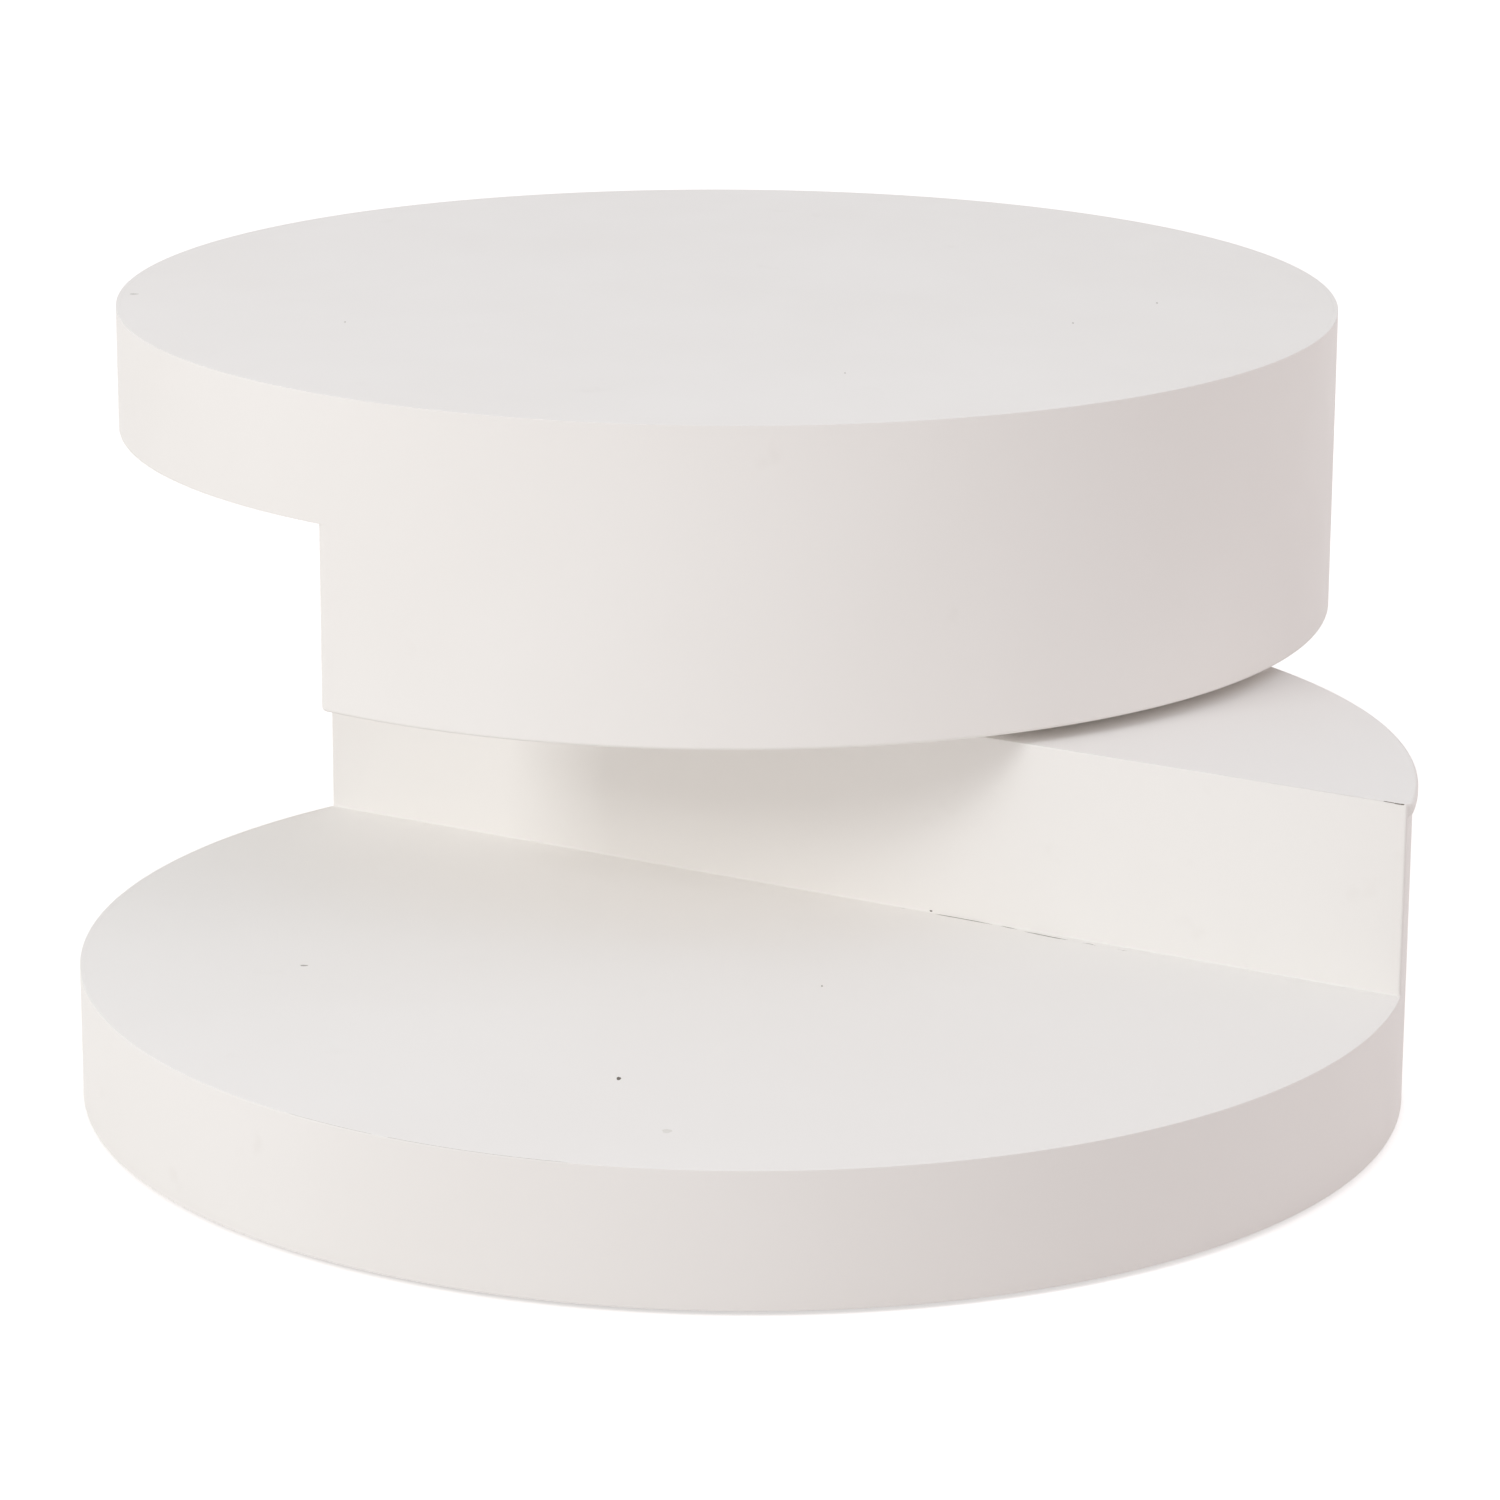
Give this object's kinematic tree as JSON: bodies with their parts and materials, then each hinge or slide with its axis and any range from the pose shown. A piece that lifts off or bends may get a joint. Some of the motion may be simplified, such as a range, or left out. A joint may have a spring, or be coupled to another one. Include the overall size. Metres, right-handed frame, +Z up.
{
  "type": "swivel coffee table",
  "caption": "Round white coffee table of stacked drum units: the upper disc and block swing on an off-centre slewing ring over a matching base with an open shelf deck.",
  "frame": {"origin": "centre of the base disc, on the floor at the underside of the middle glide", "axes": "+Z up, +Y from the base disc's centre towards the lower block and the swivel's axis, +X to the right of someone who looks along +Y at the block's flat face"},
  "size_m": [1.0066, 1.1243, 0.409],
  "materials": {
    "white_lacquer": "satin white lacquer on MDF",
    "raw_mdf": "raw sanded MDF",
    "plywood": "raw birch plywood",
    "beech": "raw beech",
    "ring_aluminium": "turned, satin",
    "zinc_steel": "bright zinc",
    "nylon": "natural nylon",
    "glide_plastic": "grey nylon",
    "cap_plastic": "moulded, matte"
  },
  "bodies": {
    "base": {"base_band": "white_lacquer", "base_bottom_panel": "raw_mdf", "base_deck": "white_lacquer", "base_ribs_crosswise": "raw_mdf", "base_ribs_lengthwise": "raw_mdf", "block_front_panel": "white_lacquer", "front_panel_dowels": "beech", "block_ribs": "raw_mdf", "block_cleat": "beech", "block_lid": "white_lacquer", "lower_bearer": "plywood", "floor_glides": "glide_plastic", "glide_nails": "zinc_steel", "access_cap": "cap_plastic", "outer_race_ring": "ring_aluminium", "outer_ring_screws": "zinc_steel"},
    "ball_cage": {"ball_cage": "nylon", "bearing_balls": "zinc_steel"},
    "top": {"top_band": "white_lacquer", "top_panel": "white_lacquer", "top_underside_panel": "white_lacquer", "top_ribs_crosswise": "raw_mdf", "top_ribs_lengthwise": "raw_mdf", "hanging_face_panel": "white_lacquer", "hanging_panel_dowels": "beech", "hanging_block_ribs": "raw_mdf", "hanging_block_cleat": "beech", "hanging_block_base": "white_lacquer", "upper_bearer": "plywood", "inner_race_ring": "ring_aluminium", "inner_ring_screws": "zinc_steel"}
  },
  "joints": [
    {"name": "top_swivel", "type": "hinge", "parent": "base", "child": "top", "pos_m": [0, 0.228, 0.206], "axis": [0, 0, 1], "continuous": true},
    {"name": "cage_roll", "type": "hinge", "parent": "base", "child": "ball_cage", "pos_m": [0, 0.228, 0.206], "axis": [0, 0, 1], "continuous": true}
  ],
  "couplings": [
    {"joint": "cage_roll", "follows": "top_swivel", "ratio": 0.48476}
  ]
}
